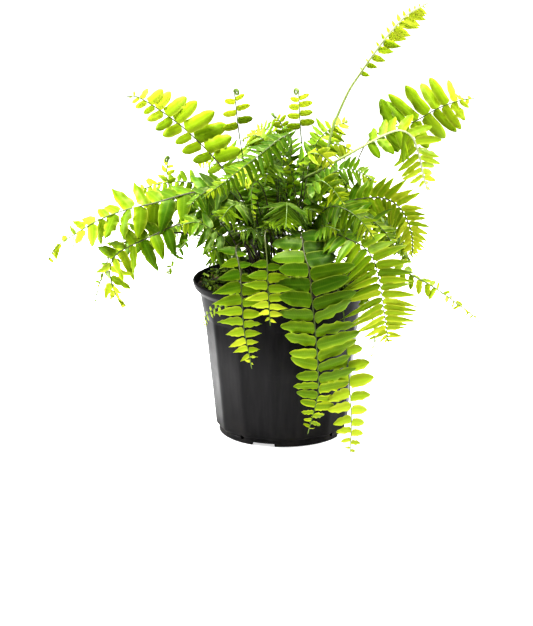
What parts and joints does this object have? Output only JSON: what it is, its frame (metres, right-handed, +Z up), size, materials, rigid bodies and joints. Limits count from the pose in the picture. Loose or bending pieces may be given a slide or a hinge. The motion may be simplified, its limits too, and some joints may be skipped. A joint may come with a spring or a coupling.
{
  "type": "potted fern",
  "caption": "Young macho fern with arching, hanging and coiled fronds, growing in soil in a black plastic nursery pot that stands on its foot.",
  "frame": {"origin": "centre of the pot's flat underside, on the surface that it stands on", "axes": "+Z up along the pot's axis, -Y towards the viewer of the picture, +X to the viewer's right"},
  "size_m": [0.4273, 0.2686, 0.426],
  "materials": {
    "black_plastic": "satin black moulded plastic",
    "potting_soil": "dark bark potting mix with green moss on it",
    "leaf_lime": "youngest leaflets, yellow-green, thin and lit through",
    "leaf_bright": "young leaflets, bright green, satin",
    "leaf_mid": "grown leaflets, mid green, satin",
    "leaf_dark": "older inner leaflets, dark green, satin"
  },
  "bodies": {
    "root": {"pot": "black_plastic", "soil": "potting_soil", "frond_front_centre": "leaf_mid", "frond_front_right": "leaf_lime", "frond_front_left": "leaf_bright", "frond_front_mid_left": "leaf_bright", "frond_left_rim": "leaf_lime", "frond_right_front": "leaf_bright", "frond_right_low": "leaf_lime", "frond_right_trailing": "leaf_bright", "frond_right_fan": "leaf_bright", "frond_right_upper": "leaf_lime", "frond_right_arch": "leaf_lime", "frond_tall_thin": "leaf_lime", "frond_coil_left": "leaf_bright", "frond_coil_mid": "leaf_lime", "frond_coil_small": "leaf_lime", "frond_left_upper": "leaf_lime", "frond_left_long": "leaf_bright", "frond_left_bunch": "leaf_mid", "frond_left_low": "leaf_bright", "frond_left_under": "leaf_bright", "frond_left_droop": "leaf_bright", "frond_left_coil": "leaf_bright", "frond_left_lime": "leaf_lime", "frond_mid_arch": "leaf_mid", "frond_top_back": "leaf_bright", "frond_young_mid": "leaf_lime", "frond_twisted_hang": "leaf_bright", "frond_left_inner": "leaf_mid", "frond_mid_right": "leaf_bright", "frond_mid_front": "leaf_dark", "frond_mid_left": "leaf_dark", "frond_top_left": "leaf_bright", "frond_top_mid": "leaf_bright", "frond_inner_right": "leaf_mid", "frond_inner_mid": "leaf_dark", "frond_top_right": "leaf_bright", "frond_centre_tall": "leaf_bright", "frond_left_mid": "leaf_dark", "frond_right_mid": "leaf_bright", "frond_right_inner": "leaf_mid", "frond_low_left": "leaf_dark", "frond_low_front": "leaf_dark", "frond_low_front_right": "leaf_mid", "frond_low_mid": "leaf_dark", "frond_high_mid": "leaf_bright", "frond_centre_left": "leaf_bright", "frond_centre_low": "leaf_mid", "frond_back_centre": "leaf_mid", "frond_back_right": "leaf_bright", "frond_back_left": "leaf_mid", "frond_right_back": "leaf_bright", "frond_right_side": "leaf_mid", "frond_left_back": "leaf_mid", "frond_left_side": "leaf_dark", "frond_low_back_right": "leaf_dark", "frond_low_back": "leaf_mid", "frond_low_back_left": "leaf_dark"}
  },
  "joints": []
}
